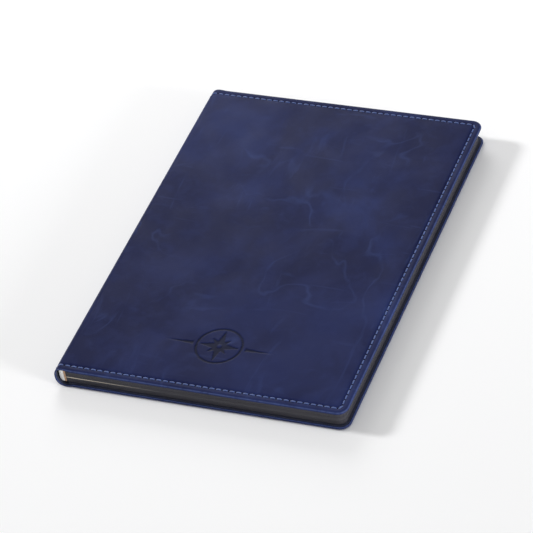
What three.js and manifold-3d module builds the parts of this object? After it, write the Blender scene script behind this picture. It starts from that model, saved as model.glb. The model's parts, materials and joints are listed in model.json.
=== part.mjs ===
// A soft-cover logbook: a sewn block of dark-edged pages in one wrap of stitched leather, with a
// hollow rounded spine. Millimetres. X runs from the spine to the fore-edge, Y from the tail to the
// head, Z up from the back cover to the front cover. The origin is under the middle of the book.
import * as THREE from "three";
import { mergeVertices } from "three/addons/utils/BufferGeometryUtils.js";
import Module from "manifold-3d";

const wasm = await Module();
wasm.setup();

// ---- driving dimensions -------------------------------------------------------------------------
const bookWidth = 150;
const bookHeight = 213.5;

const leatherThickness = 0.8;
const foamThickness = 0.35;
const boardThickness = 0.35;
const liningThickness = 0.25;
const glueLine = 0.03;
const coverCornerRadius = 5.5;
const rimBevel = 0.3;
const rimWall = 1.4;
const liningInset = 1.1;
const boardCornerRadius = 4;

const shoulderRadius = 3.8;
const jointStrip = 2.7;
const splitGap = 0.3;
const boardSetBack = 3;
const spineLiningMargin = 0.4;

const stitchInset = 3.5;
const stitchGrooveWidth = 0.8;
const stitchGrooveDepth = 0.3;
const threadWidth = 0.5;
const threadThickness = 0.2;

const overhang = 2;
const backSetIn = 5.6;
const pageCornerRadius = 4.5;
const sectionThickness = 0.6;
const sectionCount = 11;
const flyleafThickness = 0.12;
const pastedownThickness = 0.12;
const pastedownInset = 3;
const pageGap = 0.03;
const openingGap = 0.06;
const dividerThickness = 0.42;
const dividerAfterSection = 7;

const mullThickness = 0.3;
const mullMargin = 12;
const kraftThickness = 0.6;
const bandThickness = 1.6;
const bandEdgeThickness = 0.35;
const bandLength = 9;
const bandMargin = 0.4;

const cornerSegments = 10;
const bandSegments = 8;

// ---- levels and faces that follow from them -------------------------------------------------------
const boardBottom = leatherThickness + foamThickness + 2 * glueLine;
const trayHeight = boardBottom + boardThickness;
const liningBottom = trayHeight + glueLine;
const coverThickness = liningBottom + liningThickness;
const pastedownBottom = coverThickness + glueLine;
const flyleafBottom = pastedownBottom + pastedownThickness + openingGap;
const blockBottom = flyleafBottom + flyleafThickness + pageGap;

const middleSection = (sectionCount + 1) / 2;
const halfSection = (sectionThickness - openingGap) / 2;
const backSections = sectionCount - middleSection;
const backHalfThickness =
  backSections * (sectionThickness + pageGap) + dividerThickness + pageGap + halfSection;
const foldLevel = blockBottom + backHalfThickness + openingGap / 2;
const frontHalfThickness = (middleSection - 1) * (sectionThickness + pageGap) + halfSection;
const bookThickness = foldLevel + openingGap / 2 + frontHalfThickness + blockBottom;

const spineFace = -bookWidth / 2;
const foreEdge = bookWidth / 2;
const headEdge = bookHeight / 2;
const shoulderEdge = spineFace + shoulderRadius;
const jointEdge = shoulderEdge + jointStrip;
const blockBack = spineFace + backSetIn;
const mullFace = blockBack - glueLine;
const kraftFace = mullFace - mullThickness - glueLine;
const bandFace = kraftFace - kraftThickness - glueLine;

// ---- finishes ---------------------------------------------------------------------------------
function finish(color, roughness) {
  return new THREE.MeshStandardMaterial({ color, roughness, metalness: 0 });
}
const leather = finish(0x2c345c, 0.55);
const thread = finish(0x46588a, 0.8);
const foam = finish(0x6a6d76, 0.95);
const board = finish(0x8d8470, 0.9);
const lining = finish(0x20263f, 0.85);
const endpaper = finish(0xe9e4d6, 0.9);
const pages = finish(0x48484e, 0.8);
const card = finish(0xd8cfbd, 0.8);
const mull = finish(0xd9cdb4, 0.95);
const kraft = finish(0xc8a58c, 0.9);
const band = finish(0xf0efec, 0.8);

const logbook = new THREE.Group();

function addPiece(name, geometry, material) {
  const mesh = new THREE.Mesh(geometry, material);
  mesh.name = name;
  logbook.add(mesh);
}

// ---- solids -------------------------------------------------------------------------------------
function toSolid(geometry) {
  const bare = geometry.clone();
  bare.deleteAttribute("normal");
  bare.deleteAttribute("uv");
  const merged = mergeVertices(bare, 1e-4);
  return new wasm.Manifold(new wasm.Mesh({
    numProp: 3,
    vertProperties: Float32Array.from(merged.attributes.position.array),
    triVerts: Uint32Array.from(merged.index.array),
  }));
}

function toGeometry(solid) {
  const mesh = solid.getMesh();
  const geometry = new THREE.BufferGeometry();
  geometry.setAttribute("position", new THREE.BufferAttribute(Float32Array.from(mesh.vertProperties), 3));
  geometry.setIndex(new THREE.BufferAttribute(Uint32Array.from(mesh.triVerts), 1));
  return geometry;
}

// Turns a piece of the back cover over into its twin on the front cover.
function turnedOver(geometry) {
  return toGeometry(toSolid(geometry).mirror([0, 0, 1]).translate([0, 0, bookThickness]));
}

// An outline with square corners at the spine side and rounded ones at the fore-edge.
function leafOutline(left, right, halfHeight, radius) {
  const outline = new THREE.Shape();
  outline.moveTo(left, -halfHeight);
  outline.lineTo(right - radius, -halfHeight);
  outline.absarc(right - radius, -halfHeight + radius, radius, -Math.PI / 2, 0, false);
  outline.lineTo(right, halfHeight - radius);
  outline.absarc(right - radius, halfHeight - radius, radius, 0, Math.PI / 2, false);
  outline.lineTo(left, halfHeight);
  outline.closePath();
  return outline;
}

function slab(outline, bottom, thickness) {
  const geometry = new THREE.ExtrudeGeometry(outline, {
    depth: thickness,
    bevelEnabled: false,
    curveSegments: cornerSegments,
  });
  return geometry.translate(0, 0, bottom);
}

// The outline as extruded, but with its upper and lower edges rounded over.
function roundedSlab(outline, bottom, thickness, bevel) {
  const geometry = new THREE.ExtrudeGeometry(outline, {
    depth: thickness - 2 * bevel,
    bevelEnabled: true,
    bevelThickness: bevel,
    bevelSize: bevel,
    bevelOffset: -bevel,
    bevelSegments: 2,
    curveSegments: cornerSegments,
  });
  return geometry.translate(0, 0, bottom + bevel);
}

// A flat strip that follows the cover's head, fore-edge and tail at one distance from the edge.
function borderStrip(left, inset, width, bottom, thickness) {
  const outer = leafOutline(
    left, foreEdge - inset + width / 2, headEdge - inset + width / 2, coverCornerRadius - inset + width / 2);
  const inner = leafOutline(
    left - 1, foreEdge - inset - width / 2, headEdge - inset - width / 2, coverCornerRadius - inset - width / 2);
  const cutter = toSolid(slab(inner, bottom - 1, thickness + 2));
  return toSolid(slab(outer, bottom, thickness)).subtract(cutter);
}

// A profile in X and Z carried along Y over the given stretch.
function alongSpine(profile, from, to) {
  const geometry = new THREE.ExtrudeGeometry(profile, {
    depth: to - from,
    bevelEnabled: false,
    curveSegments: cornerSegments,
  });
  return geometry.rotateX(Math.PI / 2).translate(0, to, 0);
}

// ---- the leather cover ----------------------------------------------------------------------------
const shoulderInner = shoulderRadius - leatherThickness;
const splitAngle = Math.PI * 1.25;
const splitTurn = splitGap / 2 / shoulderRadius;

// The leather where it rounds from the cover into the spine, with the strip that folds as a joint.
function shoulderProfile() {
  const profile = new THREE.Shape();
  const start = splitAngle + splitTurn;
  profile.moveTo(jointEdge - splitGap / 2, 0);
  profile.lineTo(jointEdge - splitGap / 2, leatherThickness);
  profile.lineTo(shoulderEdge, leatherThickness);
  profile.absarc(shoulderEdge, shoulderRadius, shoulderInner, Math.PI * 1.5, start, true);
  profile.absarc(shoulderEdge, shoulderRadius, shoulderRadius, start, Math.PI * 1.5, false);
  profile.closePath();
  return profile;
}

function shoulder() {
  return alongSpine(shoulderProfile(), -headEdge, headEdge);
}

// The cover leather from the joint to the fore-edge: a shallow tray that holds the foam and the board.
function coverTray() {
  const left = jointEdge + splitGap / 2;
  const outline = leafOutline(left, foreEdge, headEdge, coverCornerRadius);
  const tray = toSolid(roundedSlab(outline, 0, trayHeight, rimBevel));
  const pocket = leafOutline(
    left + boardSetBack, foreEdge - rimWall, headEdge - rimWall, boardCornerRadius);
  return tray.subtract(toSolid(slab(pocket, leatherThickness, trayHeight)));
}

// The groove that the border stitching sinks into.
function stitchGroove() {
  return borderStrip(jointEdge, stitchInset, stitchGrooveWidth, -1, 1 + stitchGrooveDepth);
}

function coverLeather() {
  return toGeometry(coverTray().subtract(stitchGroove()));
}

function padSheet(clearance, bottom, thickness) {
  const left = jointEdge + splitGap / 2 + boardSetBack + clearance;
  const outline = leafOutline(
    left, foreEdge - rimWall - clearance, headEdge - rimWall - clearance, boardCornerRadius - clearance);
  return slab(outline, bottom, thickness);
}

function coverLining() {
  const left = jointEdge + splitGap / 2 + glueLine;
  const outline = leafOutline(
    left, foreEdge - liningInset, headEdge - liningInset, coverCornerRadius - liningInset);
  return slab(outline, liningBottom, liningThickness);
}

function pastedown() {
  const left = jointEdge + splitGap / 2 + glueLine;
  const outline = leafOutline(
    left, foreEdge - pastedownInset, headEdge - pastedownInset, coverCornerRadius - pastedownInset);
  return slab(outline, pastedownBottom, pastedownThickness);
}

function borderThread() {
  const left = jointEdge + splitGap / 2 + glueLine;
  const bottom = stitchGrooveDepth - glueLine - threadThickness;
  return toGeometry(borderStrip(left, stitchInset, threadWidth, bottom, threadThickness));
}

const coverLayers = [
  ["joint_leather", shoulder(), leather],
  ["cover_leather", coverLeather(), leather],
  ["foam", padSheet(glueLine, leatherThickness + glueLine, foamThickness), foam],
  ["board", padSheet(glueLine, boardBottom, boardThickness), board],
  ["lining", coverLining(), lining],
  ["pastedown", pastedown(), endpaper],
  ["stitching", borderThread(), thread],
];
for (const [layer, geometry, material] of coverLayers) {
  addPiece("back_" + layer, geometry, material);
  addPiece("front_" + layer, turnedOver(geometry), material);
}

// ---- the spine ----------------------------------------------------------------------------------
// The leather wall between the two shoulders, with half of each rounded corner.
function spineWall() {
  const profile = new THREE.Shape();
  const stop = splitAngle - splitTurn;
  const top = bookThickness - shoulderRadius;
  profile.moveTo(spineFace, shoulderRadius);
  profile.absarc(shoulderEdge, shoulderRadius, shoulderRadius, Math.PI, stop, false);
  profile.absarc(shoulderEdge, shoulderRadius, shoulderInner, stop, Math.PI, true);
  profile.lineTo(spineFace + leatherThickness, top);
  profile.absarc(shoulderEdge, top, shoulderInner, Math.PI, Math.PI * 2 - stop, true);
  profile.absarc(shoulderEdge, top, shoulderRadius, Math.PI * 2 - stop, Math.PI, false);
  profile.closePath();
  return alongSpine(profile, -headEdge, headEdge);
}

function spineLining() {
  const bottom = shoulderRadius - spineLiningMargin;
  const height = bookThickness - 2 * bottom;
  const sheet = new THREE.BoxGeometry(liningThickness, bookHeight - 2 * liningInset, height);
  const left = spineFace + leatherThickness + glueLine + spineLiningMargin / 4;
  return sheet.translate(left + liningThickness / 2, 0, bookThickness / 2);
}

addPiece("spine_leather", spineWall(), leather);
addPiece("spine_lining", spineLining(), lining);

// ---- the sewn block -------------------------------------------------------------------------------
function leaf(bottom, thickness) {
  const outline = leafOutline(blockBack, foreEdge - overhang, headEdge - overhang, pageCornerRadius);
  return slab(outline, bottom, thickness);
}

function twoDigits(number) {
  return String(number).padStart(2, "0");
}

addPiece("back_flyleaf", leaf(flyleafBottom, flyleafThickness), endpaper);
addPiece("front_flyleaf", turnedOver(leaf(flyleafBottom, flyleafThickness)), endpaper);

let level = blockBottom;
for (let number = sectionCount; number > middleSection; number -= 1) {
  addPiece("section_" + twoDigits(number), leaf(level, sectionThickness), pages);
  level += sectionThickness + pageGap;
  if (number === dividerAfterSection + 1) {
    addPiece("divider_leaf", leaf(level, dividerThickness), card);
    level += dividerThickness + pageGap;
  }
}
const middleName = "section_" + twoDigits(middleSection);
addPiece(middleName + "_back_leaves", leaf(level, halfSection), pages);
level += halfSection + openingGap;
addPiece(middleName + "_front_leaves", leaf(level, halfSection), pages);
level += halfSection + pageGap;
for (let number = middleSection - 1; number > 0; number -= 1) {
  addPiece("section_" + twoDigits(number), leaf(level, sectionThickness), pages);
  level += sectionThickness + pageGap;
}

// ---- what is glued to the back of the block, in two halves that meet at the middle opening -----------
function backStrip(face, thickness, margin, bottom, top) {
  const height = top - bottom;
  const strip = new THREE.BoxGeometry(thickness, bookHeight - 2 * margin, height);
  return strip.translate(face - thickness / 2, 0, (top + bottom) / 2);
}

// A woven end band: thick at the middle of the spine and thin at the covers.
function endBand(bottom, top, end) {
  const low = blockBottom;
  const high = bookThickness - blockBottom;
  const profile = new THREE.Shape();
  profile.moveTo(bandFace, bottom);
  profile.lineTo(bandFace, top);
  for (let step = 0; step <= bandSegments; step += 1) {
    const z = top + (bottom - top) * (step / bandSegments);
    const across = (2 * z - low - high) / (high - low);
    const swell = Math.sqrt(Math.max(0, 1 - across * across));
    const thickness = bandEdgeThickness + (bandThickness - bandEdgeThickness) * swell;
    profile.lineTo(bandFace - thickness, z);
  }
  profile.closePath();
  const outer = headEdge - overhang - bandMargin;
  const from = end > 0 ? outer - bandLength : -outer;
  return alongSpine(profile, from, from + bandLength);
}

const halves = [
  ["back", blockBottom, foldLevel - openingGap / 2],
  ["front", foldLevel + openingGap / 2, bookThickness - blockBottom],
];
for (const [half, bottom, top] of halves) {
  addPiece(half + "_mull", backStrip(mullFace, mullThickness, mullMargin, bottom, top), mull);
  addPiece(half + "_kraft_lining", backStrip(kraftFace, kraftThickness, overhang, bottom, top), kraft);
  addPiece(half + "_headband", endBand(bottom, top, 1), band);
  addPiece(half + "_tailband", endBand(bottom, top, -1), band);
}

export default logbook;
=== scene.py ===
import bpy
import bmesh
import json
import math
import random
import numpy as np
from mathutils import Matrix, Vector


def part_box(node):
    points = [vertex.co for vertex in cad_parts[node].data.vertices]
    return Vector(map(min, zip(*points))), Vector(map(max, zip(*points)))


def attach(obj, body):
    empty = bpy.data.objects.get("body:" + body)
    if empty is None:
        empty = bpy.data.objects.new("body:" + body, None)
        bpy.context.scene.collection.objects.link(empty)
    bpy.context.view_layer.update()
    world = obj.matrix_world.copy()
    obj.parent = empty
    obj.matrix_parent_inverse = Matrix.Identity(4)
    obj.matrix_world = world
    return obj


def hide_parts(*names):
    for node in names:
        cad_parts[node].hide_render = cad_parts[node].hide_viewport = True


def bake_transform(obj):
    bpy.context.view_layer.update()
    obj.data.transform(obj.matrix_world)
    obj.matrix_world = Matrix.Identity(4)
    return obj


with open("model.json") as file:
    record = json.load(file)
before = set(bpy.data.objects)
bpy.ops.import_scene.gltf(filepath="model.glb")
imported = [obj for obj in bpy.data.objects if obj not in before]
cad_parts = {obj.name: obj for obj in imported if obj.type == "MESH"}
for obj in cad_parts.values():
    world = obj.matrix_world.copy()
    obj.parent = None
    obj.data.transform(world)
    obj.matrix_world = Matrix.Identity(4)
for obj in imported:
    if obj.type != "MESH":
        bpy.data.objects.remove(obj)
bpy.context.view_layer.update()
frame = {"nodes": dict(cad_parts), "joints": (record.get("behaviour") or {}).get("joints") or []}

MM = 0.001

# ---- sizes and places read from the frame ---------------------------------------------------------
joints = {joint["name"]: joint for joint in frame["joints"]}


def corners(node):
    """The low and the high corner of a node's box."""
    return tuple(Vector(corner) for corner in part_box(node))


cover_high = corners("front_cover_leather")[1]
middle_back_low, middle_back_high = corners("section_06_back_leaves")
middle_front_low, middle_front_high = corners("section_06_front_leaves")

BOOK_TOP = cover_high.z
HALF_HEIGHT = cover_high.y
FORE_EDGE = cover_high.x
SPINE_FACE = corners("spine_leather")[0].x
COVER_JOINT = joints["front_cover_open"]["pos_m"][0]
FOLD_LEVEL = joints["front_leaves_turn"]["pos_m"][2]
LEAF_AXIS = joints["front_leaves_turn"]["pos_m"][0]

# ---- sizes of the fine parts ------------------------------------------------------------------------
CORNER_RADIUS = 5.5 * MM
SPINE_REACH = 5.2 * MM
ARCH_SQUARENESS = 2.3
SPINE_LEATHER = 0.85 * MM
STITCH_INSET = 3.5 * MM
STITCH_PITCH = 3.4 * MM
STITCH_LENGTH = 2.5 * MM
STITCH_RADIUS = 0.36 * MM
STITCH_RISE = 0.30 * MM
STITCH_DIP = 0.34 * MM
HOLE_RADIUS = 0.52 * MM
STITCH_SINK = 0.52 * MM
BAND_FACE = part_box("back_kraft_lining")[0][0] - 0.30 * MM
BAND_THICK = 2.4 * MM
BAND_EDGE = 1.2 * MM
BAND_OVERHANG = 0.4 * MM
LEAF_GAP = 0.008 * MM
LEAVES_IN_SECTION = 8
PAGE_CORNER = 4.5 * MM
PAINT_BLEED = 0.22 * MM
CENTRE_LEAF = 0.07 * MM
EMBLEM_Y = -HALF_HEIGHT + 31 * MM
EMBLEM_HALF_WIDTH = 22 * MM
EMBLEM_HALF_HEIGHT = 13 * MM
EMBLEM_DEPTH = 0.25 * MM
EMBLEM_GRID = 0.4 * MM
WAVE_COUNT = 7
WAVE_HEIGHT = 0.09 * MM
COVER_CORNER_STEPS = 12


# ---- camera -------------------------------------------------------------------------------------------
def make_camera():
    """The view from above the tail and fore-edge, turned by a small roll."""
    azimuth = math.radians(27.95)
    elevation = math.radians(41.45)
    roll = math.radians(11.25)
    data = bpy.data.cameras.new("camera")
    camera = bpy.data.objects.new("camera", data)
    bpy.context.collection.objects.link(camera)
    forward = Vector((
        -math.sin(azimuth) * math.cos(elevation),
        math.cos(azimuth) * math.cos(elevation),
        -math.sin(elevation),
    ))
    turn = forward.to_track_quat("-Z", "Y").to_matrix().to_4x4()
    place = Matrix.Translation((0.5399, -1.0304, 1.0236))
    camera.matrix_world = place @ turn @ Matrix.Rotation(-roll, 4, "Z")
    data.sensor_width = 36
    data.lens = 211.6
    data.clip_end = 20
    bpy.context.scene.camera = camera


make_camera()


# ---- node helpers -----------------------------------------------------------------------------------
class Nodes:
    """A small writer of nodes: a value for an input is linked if it is a socket, and set if not."""

    def __init__(self, tree):
        self.tree = tree

    def node(self, kind, inputs=None, **settings):
        node = self.tree.nodes.new(kind)
        for key, value in settings.items():
            setattr(node, key, value)
        for key, value in (inputs or {}).items():
            if isinstance(value, bpy.types.NodeSocket):
                self.tree.links.new(value, node.inputs[key])
            else:
                node.inputs[key].default_value = value
        return node

    def math(self, operation, first, second=0.0, third=0.0):
        inputs = {0: first, 1: second, 2: third}
        return self.node("ShaderNodeMath", inputs, operation=operation).outputs[0]


class Shader(Nodes):
    """Writes one material."""

    def __init__(self, name):
        self.material = bpy.data.materials.new(name)
        self.material.use_nodes = True
        super().__init__(self.material.node_tree)
        self.tree.nodes.clear()
        self.output = self.tree.nodes.new("ShaderNodeOutputMaterial")

    def rest_position(self):
        """Where the point lies on the closed book, kept on the mesh so that no bend moves the pattern."""
        return self.node("ShaderNodeAttribute", attribute_name="rest_position").outputs["Vector"]

    def attribute(self, name):
        return self.node("ShaderNodeAttribute", attribute_name=name).outputs["Fac"]

    def object_position(self):
        return self.node("ShaderNodeTexCoord").outputs["Object"]

    def mapped(self, vector, scale=(1, 1, 1), turn=(0, 0, 0), move=(0, 0, 0)):
        inputs = {"Vector": vector, "Scale": scale, "Rotation": turn, "Location": move}
        return self.node("ShaderNodeMapping", inputs).outputs["Vector"]

    def noise(self, vector, scale, detail=4.0, roughness=0.5, distortion=0.0):
        inputs = {
            "Vector": vector, "Scale": scale, "Detail": detail,
            "Roughness": roughness, "Distortion": distortion,
        }
        return self.node("ShaderNodeTexNoise", inputs).outputs["Fac"]

    def soft_cells(self, vector, scale, smoothness):
        inputs = {"Vector": vector, "Scale": scale, "Randomness": 1.0, "Smoothness": smoothness}
        return self.node("ShaderNodeTexVoronoi", inputs, feature="SMOOTH_F1").outputs["Distance"]

    def spread(self, value, low, high, to_low=0.0, to_high=1.0):
        inputs = {"Value": value, "From Min": low, "From Max": high, "To Min": to_low, "To Max": to_high}
        return self.node("ShaderNodeMapRange", inputs, interpolation_type="SMOOTHSTEP").outputs["Result"]

    def mix(self, factor, first, second):
        inputs = {"Factor": factor, 6: first, 7: second}
        return self.node("ShaderNodeMix", inputs, data_type="RGBA").outputs[2]

    def parts(self, vector):
        return self.node("ShaderNodeSeparateXYZ", {0: vector}).outputs[:3]

    def bump(self, height, distance, strength=1.0, normal=None):
        inputs = {"Height": height, "Distance": distance, "Strength": strength}
        if normal is not None:
            inputs["Normal"] = normal
        return self.node("ShaderNodeBump", inputs).outputs["Normal"]

    def surface(self, color, roughness, normal=None, **constants):
        inputs = {"Base Color": color, "Roughness": roughness}
        if normal is not None:
            inputs["Normal"] = normal
        for key, value in constants.items():
            inputs[key.replace("_", " ")] = value
        node = self.node("ShaderNodeBsdfPrincipled", inputs)
        self.tree.links.new(node.outputs[0], self.output.inputs["Surface"])
        return self.material


def srgb(red, green, blue):
    """A colour picked on a screen, 0 to 255, as the linear values a shader takes."""
    def linear(value):
        value = value / 255
        return value / 12.92 if value <= 0.04045 else ((value + 0.055) / 1.055) ** 2.4
    return (linear(red), linear(green), linear(blue), 1.0)


# ---- finishes ---------------------------------------------------------------------------------------
def pull_up_leather():
    """Navy pull-up leather: cloudy lighter patches, faint streaks, a fine grain, and a painted highlight of
    paler blue along the rounded rims.
    """
    s = Shader("navy_leather")
    place = s.rest_position()
    clouds = s.noise(s.mapped(place, (1.0, 0.8, 1.0), (0, 0, 0.5)), 24, 4.0, 0.55, 0.5)
    broad = s.noise(s.mapped(place, (1, 1, 1), (0, 0, 0), (0.31, 0.47, 0)), 9, 2.0, 0.5, 0.3)
    mottle = s.noise(place, 130, 4.0, 0.6, 0.4)
    streaks = s.noise(s.mapped(place, (1.0, 0.2, 1.0), (0, 0, -0.9)), 85, 3.0, 0.6, 1.6)
    cross = s.noise(s.mapped(place, (0.2, 1.0, 1.0), (0, 0, -0.35), (0.3, 0.1, 0)), 70, 2.0, 0.6, 2.2)
    color = s.mix(s.spread(clouds, 0.36, 0.64), srgb(22, 27, 62), srgb(29, 36, 76))
    patches = s.math("MULTIPLY", s.spread(clouds, 0.52, 0.72), s.spread(broad, 0.40, 0.62))
    color = s.mix(s.math("MULTIPLY", patches, 0.36), color, srgb(40, 54, 106))
    lines = s.math("MAXIMUM", s.spread(streaks, 0.60, 0.72), s.spread(cross, 0.62, 0.74))
    color = s.mix(s.math("MULTIPLY", lines, 0.16), color, srgb(52, 68, 120))
    color = s.mix(s.spread(mottle, 0.45, 0.7, 0.0, 0.2), color, srgb(38, 48, 94))
    vein = s.noise(s.mapped(place, (1.0, 0.75, 1.0), (0, 0, 0.8)), 26, 3.0, 0.5, 0.45)
    vein = s.math("ABSOLUTE", s.math("SUBTRACT", vein, 0.5))
    broken = s.spread(s.noise(place, 40, 2.0), 0.46, 0.70)
    creases = s.math("MULTIPLY", s.spread(vein, 0.0, 0.022, 1.0, 0.0), broken)
    color = s.mix(s.math("MULTIPLY", creases, 0.22), color, srgb(56, 72, 124))
    # Painted highlight: a paler blue laid along the rounded rims, broken up by noise, where lamps would catch
    # the rim.
    rim_highlight = s.attribute("rim_highlight")
    rim_highlight_mask = s.math("MULTIPLY", rim_highlight, s.spread(s.noise(place, 700, 3.0), 0.25, 0.6, 0.5, 1.0))
    color = s.mix(rim_highlight_mask, color, srgb(92, 108, 156))
    pressed = s.attribute("pressed")
    color = s.mix(s.math("MULTIPLY", pressed, 0.7), color, srgb(22, 24, 36))
    grain = s.soft_cells(place, 1500, 0.6)
    fine = s.noise(place, 4200, 3.0, 0.6)
    soft = s.noise(s.mapped(place, (1, 0.7, 1)), 120, 3.0, 0.5, 0.8)
    pebble = s.math("MULTIPLY", s.math("ADD", grain, s.math("MULTIPLY", fine, 0.4)), 0.5)
    normal = s.bump(soft, 0.22 * MM, 0.3)
    normal = s.bump(pebble, 0.05 * MM, 0.6, normal)
    roughness = s.spread(s.noise(place, 60, 3.0), 0.3, 0.7, 0.40, 0.50)
    roughness = s.math("SUBTRACT", roughness, s.math("MULTIPLY", rim_highlight, 0.25))
    return s.surface(color, roughness, normal, Specular_IOR_Level=0.05)


def stitch_thread():
    """Twisted polyester thread, lighter blue than the leather."""
    s = Shader("stitch_thread")
    place = s.object_position()
    twist = s.node("ShaderNodeTexWave", {"Vector": place, "Scale": 900, "Distortion": 0.4},
                   wave_type="BANDS", bands_direction="DIAGONAL")
    strand = twist.outputs["Fac"]
    fleck = s.noise(place, 2600, 2.0)
    color = s.mix(strand, srgb(48, 66, 118), srgb(84, 108, 168))
    color = s.mix(s.spread(fleck, 0.55, 0.8, 0.0, 0.4), color, srgb(116, 138, 190))
    normal = s.bump(strand, 0.06 * MM, 0.7)
    return s.surface(color, 0.42, normal, Specular_IOR_Level=0.5, Sheen_Weight=0.25, Sheen_Roughness=0.4)


def needle_hole_shade():
    s = Shader("needle_hole_shade")
    place = s.object_position()
    # Painted shade: near-black blue standing in for the shadow inside each needle hole, where no hole is cut.
    color = s.mix(s.noise(place, 1500, 2.0), srgb(14, 16, 32), srgb(24, 28, 50))
    return s.surface(color, 0.8, None, Specular_IOR_Level=0.1)


def page_edge():
    """Edges of the leaves coloured dark grey, with fine lines where the leaves meet."""
    s = Shader("page_edge")
    place = s.rest_position()
    tint = s.attribute("leaf_tint")
    along = s.noise(s.mapped(place, (0.05, 0.05, 5.0)), 500, 3.0, 0.6)
    smear = s.noise(s.mapped(place, (1.0, 1.0, 0.5)), 60, 2.0, 0.5)
    shade = s.math("ADD", s.math("MULTIPLY", tint, 0.55), s.math("MULTIPLY", along, 0.45))
    color = s.mix(s.spread(shade, 0.2, 0.8), srgb(46, 45, 53), srgb(72, 71, 78))
    color = s.mix(s.spread(smear, 0.5, 0.75, 0.0, 0.2), color, srgb(84, 83, 90))
    normal = s.bump(along, 0.02 * MM, 0.4)
    return s.surface(color, 0.42, normal, Specular_IOR_Level=0.35)


def painted_border(s, place):
    """1 on the hair's breadth of a leaf that took colour with its painted edges, round corners included."""
    x, y, _ = s.parts(place)
    past_side = s.math("SUBTRACT", x, middle_back_high.x - PAGE_CORNER)
    past_end = s.math("SUBTRACT", s.math("ABSOLUTE", y), middle_back_high.y - PAGE_CORNER)
    beyond = s.math("ADD", s.math("POWER", s.math("MAXIMUM", past_side, 0.0), 2.0),
                    s.math("POWER", s.math("MAXIMUM", past_end, 0.0), 2.0))
    within = s.math("MINIMUM", s.math("MAXIMUM", past_side, past_end), 0.0)
    reach = s.math("ADD", s.math("SQRT", beyond), within)
    return s.math("GREATER_THAN", reach, PAGE_CORNER - PAINT_BLEED)


def ruled_paper():
    """Off-white paper with a plain logbook grid of fine grey-blue lines."""
    s = Shader("ruled_page")
    place = s.rest_position()
    fiber = s.noise(place, 900, 4.0, 0.6)
    cloud = s.noise(place, 40, 2.0)
    color = s.mix(s.spread(cloud, 0.3, 0.7), srgb(240, 236, 224), srgb(246, 243, 233))
    color = s.mix(s.spread(fiber, 0.62, 0.8, 0.0, 0.25), color, srgb(222, 214, 196))
    x, y, _ = s.parts(place)
    half_line = 0.16 * MM / 2
    row_pitch = 7.1 * MM
    row_count = 27
    columns = (0.0, 14.0, 30.0, 46.0, 62.0, 74.0, 86.0, 98.0, 110.0, 122.0)
    page_left = middle_back_low.x + 10 * MM
    page_right = page_left + columns[-1] * MM
    top_line = middle_back_high.y - 14 * MM
    bottom_line = top_line - row_count * row_pitch
    rows = s.math("PINGPONG", s.math("SUBTRACT", y, top_line), row_pitch / 2)
    ink = s.math("LESS_THAN", rows, half_line)
    for column in columns:
        offset = s.math("ABSOLUTE", s.math("SUBTRACT", x, page_left + column * MM))
        ink = s.math("MAXIMUM", ink, s.math("LESS_THAN", offset, half_line))

    def between(value, low, high):
        offset = s.math("ABSOLUTE", s.math("SUBTRACT", value, (low + high) / 2))
        return s.math("LESS_THAN", offset, (high - low) / 2 + half_line)

    inside = s.math("MULTIPLY", between(x, page_left, page_right), between(y, bottom_line, top_line))
    ink = s.math("MULTIPLY", ink, inside)
    head_band = s.math("MULTIPLY", s.math("GREATER_THAN", y, top_line - 2 * row_pitch), inside)
    color = s.mix(s.math("MULTIPLY", head_band, 0.35), color, srgb(176, 192, 214))
    color = s.mix(s.math("MULTIPLY", ink, 0.75), color, srgb(104, 122, 150))
    color = s.mix(painted_border(s, place), color, srgb(58, 57, 64))
    normal = s.bump(fiber, 0.02 * MM, 0.4)
    return s.surface(color, 0.82, normal, Specular_IOR_Level=0.3)


def plain_stock(name, low, high, scale, roughness, bump=0.03):
    """Board, foam, card and kraft: two close tones over a fibrous or cellular surface."""
    s = Shader(name)
    place = s.object_position()
    tone = s.noise(place, scale, 5.0, 0.65)
    color = s.mix(s.spread(tone, 0.3, 0.7), low, high)
    normal = s.bump(tone, bump * MM, 0.6)
    return s.surface(color, roughness, normal, Specular_IOR_Level=0.25)


def woven(name, low, high, pitch, position="object"):
    """A plain weave: warp and weft as two crossed rows of fine ribs."""
    s = Shader(name)
    place = s.object_position() if position == "object" else s.rest_position()
    x, y, z = s.parts(place)
    warp = s.math("SINE", s.math("MULTIPLY", s.math("ADD", x, z), 2 * math.pi / pitch))
    weft = s.math("SINE", s.math("MULTIPLY", y, 2 * math.pi / pitch))
    weave = s.math("MULTIPLY", warp, weft)
    tone = s.math("ADD", s.spread(weave, -1.0, 1.0, 0.0, 0.8), s.noise(place, 300, 3.0))
    color = s.mix(s.spread(tone, 0.4, 1.5), low, high)
    normal = s.bump(weave, 0.05 * MM, 0.7)
    return s.surface(color, 0.85, normal, Specular_IOR_Level=0.2, Sheen_Weight=0.2)


def fading_card():
    """Cream card whose cut edge is bare near the spine and darkened with the other leaves further out."""
    s = Shader("divider_card")
    place = s.rest_position()
    x = s.parts(place)[0]
    fiber = s.noise(place, 700, 4.0, 0.6)
    card = s.mix(fiber, srgb(226, 216, 198), srgb(205, 194, 176))
    ragged = s.math("ADD", x, s.math("MULTIPLY", s.noise(place, 90, 2.0), 10 * MM))
    painted = s.spread(ragged, -66 * MM, -14 * MM)
    at_edge = s.attribute("cut_edge")
    color = s.mix(s.math("MULTIPLY", painted, at_edge), card, srgb(74, 73, 78))
    return s.surface(color, 0.7, s.bump(fiber, 0.02 * MM, 0.4), Specular_IOR_Level=0.3)


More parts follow.
